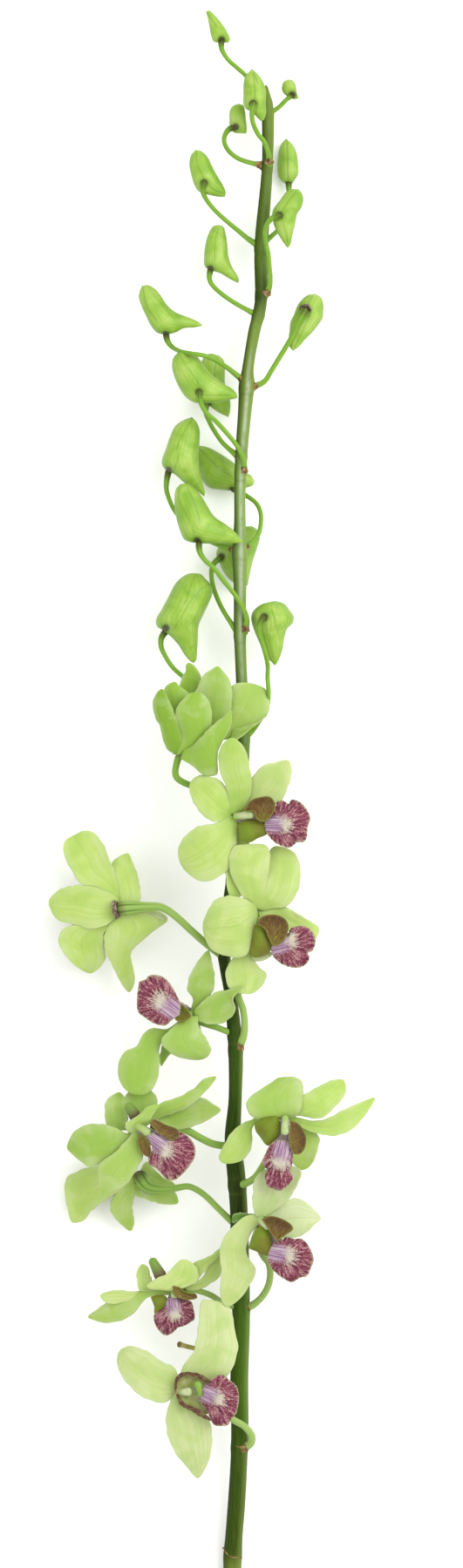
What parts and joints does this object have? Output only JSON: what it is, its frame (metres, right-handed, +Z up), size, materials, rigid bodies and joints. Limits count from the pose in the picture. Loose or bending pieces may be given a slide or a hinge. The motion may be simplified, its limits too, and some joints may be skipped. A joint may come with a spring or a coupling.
{
  "type": "dendrobium orchid stem",
  "caption": "Cut orchid spray lying on its side: closed buds towards the tip, then open green flowers with mauve lips, each on its own stalk along a slender stem.",
  "frame": {"origin": "middle of the underside of the whole spray's box, on the surface it lies on", "axes": "+Y along the stem from its cut end towards its tip, +Z up from the surface, +X to the right seen from above"},
  "size_m": [0.1156, 0.565, 0.0498],
  "materials": {
    "stem_skin": "smooth living stem, satin, olive-grey at the tip to dark green and then mid green",
    "bud_skin": "waxy satin, bright yellow-green with seam grooves and brown-flecked ends",
    "stalk_skin": "smooth satin, light green",
    "tepal_skin": "waxy satin, pale yellow-green with fine lengthwise veins and a pale edge",
    "lip_skin": "soft matt, mauve with dark veins, cream margin and centre, brown-green side lobes",
    "dry_stub": "dull yellow-green, browned at its end"
  },
  "bodies": {
    "root": {"rachis_01": "stem_skin", "rachis_02": "stem_skin", "rachis_03": "stem_skin", "rachis_04": "stem_skin", "broken_stalk": "dry_stub", "bud_01": "bud_skin", "bud_02": "bud_skin", "bud_03": "bud_skin", "bud_04": "bud_skin", "bud_05": "bud_skin", "bud_06": "bud_skin", "bud_07": "bud_skin", "bud_08": "bud_skin", "bud_09": "bud_skin", "bud_10": "bud_skin", "bud_11": "bud_skin", "bud_12": "bud_skin", "bud_13": "bud_skin", "bud_14": "bud_skin", "bud_15": "bud_skin", "bud_16": "bud_skin", "bud_17": "bud_skin", "bud_18": "bud_skin", "opening_01_tepals": "tepal_skin", "opening_01_stalk": "stalk_skin", "opening_02_tepals": "tepal_skin", "opening_02_stalk": "stalk_skin", "flower_01_tepals": "tepal_skin", "flower_01_lip": "lip_skin", "flower_01_stalk": "stalk_skin", "flower_02_tepals": "tepal_skin", "flower_02_lip": "lip_skin", "flower_02_stalk": "stalk_skin", "flower_03_tepals": "tepal_skin", "flower_03_lip": "lip_skin", "flower_03_stalk": "stalk_skin", "flower_04_tepals": "tepal_skin", "flower_04_lip": "lip_skin", "flower_04_stalk": "stalk_skin", "flower_05_tepals": "tepal_skin", "flower_05_lip": "lip_skin", "flower_05_stalk": "stalk_skin", "flower_06_tepals": "tepal_skin", "flower_06_lip": "lip_skin", "flower_06_stalk": "stalk_skin", "flower_07_tepals": "tepal_skin", "flower_07_lip": "lip_skin", "flower_07_stalk": "stalk_skin", "flower_08_tepals": "tepal_skin", "flower_08_lip": "lip_skin", "flower_08_stalk": "stalk_skin", "flower_09_tepals": "tepal_skin", "flower_09_lip": "lip_skin", "flower_09_stalk": "stalk_skin", "flower_10_tepals": "tepal_skin", "flower_10_lip": "lip_skin", "flower_10_stalk": "stalk_skin"}
  },
  "joints": []
}
